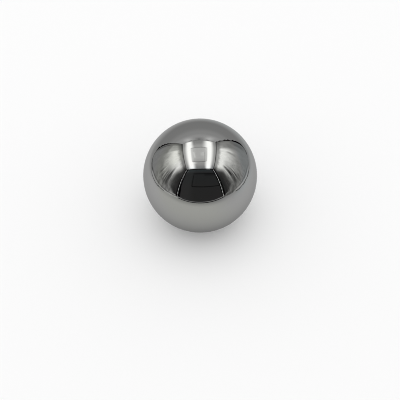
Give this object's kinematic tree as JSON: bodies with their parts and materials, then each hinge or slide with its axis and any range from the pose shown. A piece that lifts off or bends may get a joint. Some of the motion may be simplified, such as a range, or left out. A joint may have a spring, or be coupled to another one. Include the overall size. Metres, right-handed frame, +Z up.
{
  "type": "steel ball",
  "caption": "Solid steel ball, ground and lapped to a mirror finish, plain all over with no flat, hole or mark.",
  "frame": {"origin": "the centre of the ball", "axes": "+Z up, opposite the seat that the ball rests in; +X and +Y are level, and every line through the origin is an axis of symmetry"},
  "size_m": [0.0635, 0.0634, 0.0636],
  "materials": {
    "polished_steel": "bare hardened steel, ground and lapped to a mirror, with a faint haze of fine lapping marks"
  },
  "bodies": {
    "root": {"ball": "polished_steel"}
  },
  "joints": []
}
